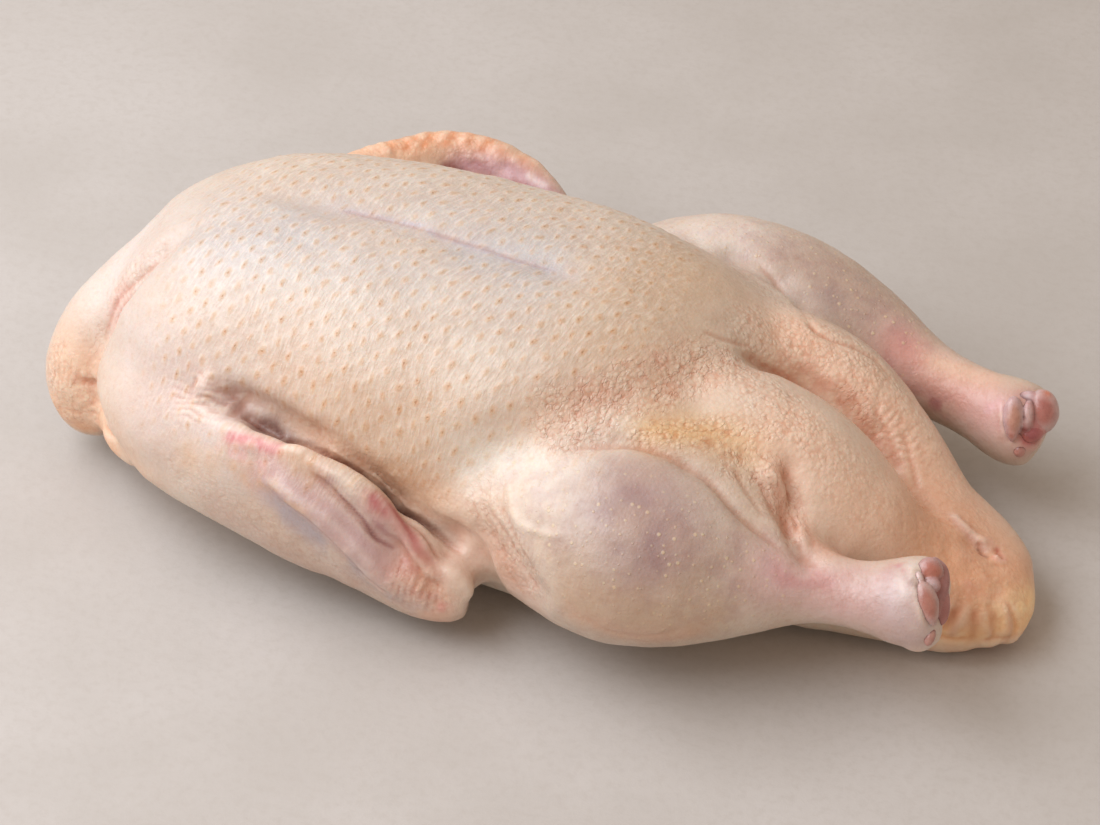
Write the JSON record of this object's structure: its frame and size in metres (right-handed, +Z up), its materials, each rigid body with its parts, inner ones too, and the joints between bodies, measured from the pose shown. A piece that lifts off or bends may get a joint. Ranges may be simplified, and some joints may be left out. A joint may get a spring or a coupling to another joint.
{
  "type": "whole duck",
  "caption": "Whole raw oven-ready duck on its back, breast up, with trimmed wings and legs, a neck flap and a tail, lying flat for a table or tray.",
  "frame": {"origin": "bottom centre of the bird's box, on the surface it lies on", "axes": "+X from the neck flap to the tail, +Y to the side of the spread wing, +Z up from its back to its breast"},
  "size_m": [0.36, 0.2244, 0.1114],
  "materials": {
    "skin": "moist pale raw poultry skin with feather follicles, cream on the breast, mauve over the legs, pink on the wings and shanks"
  },
  "bodies": {
    "root": {"duck": "skin"}
  },
  "joints": []
}
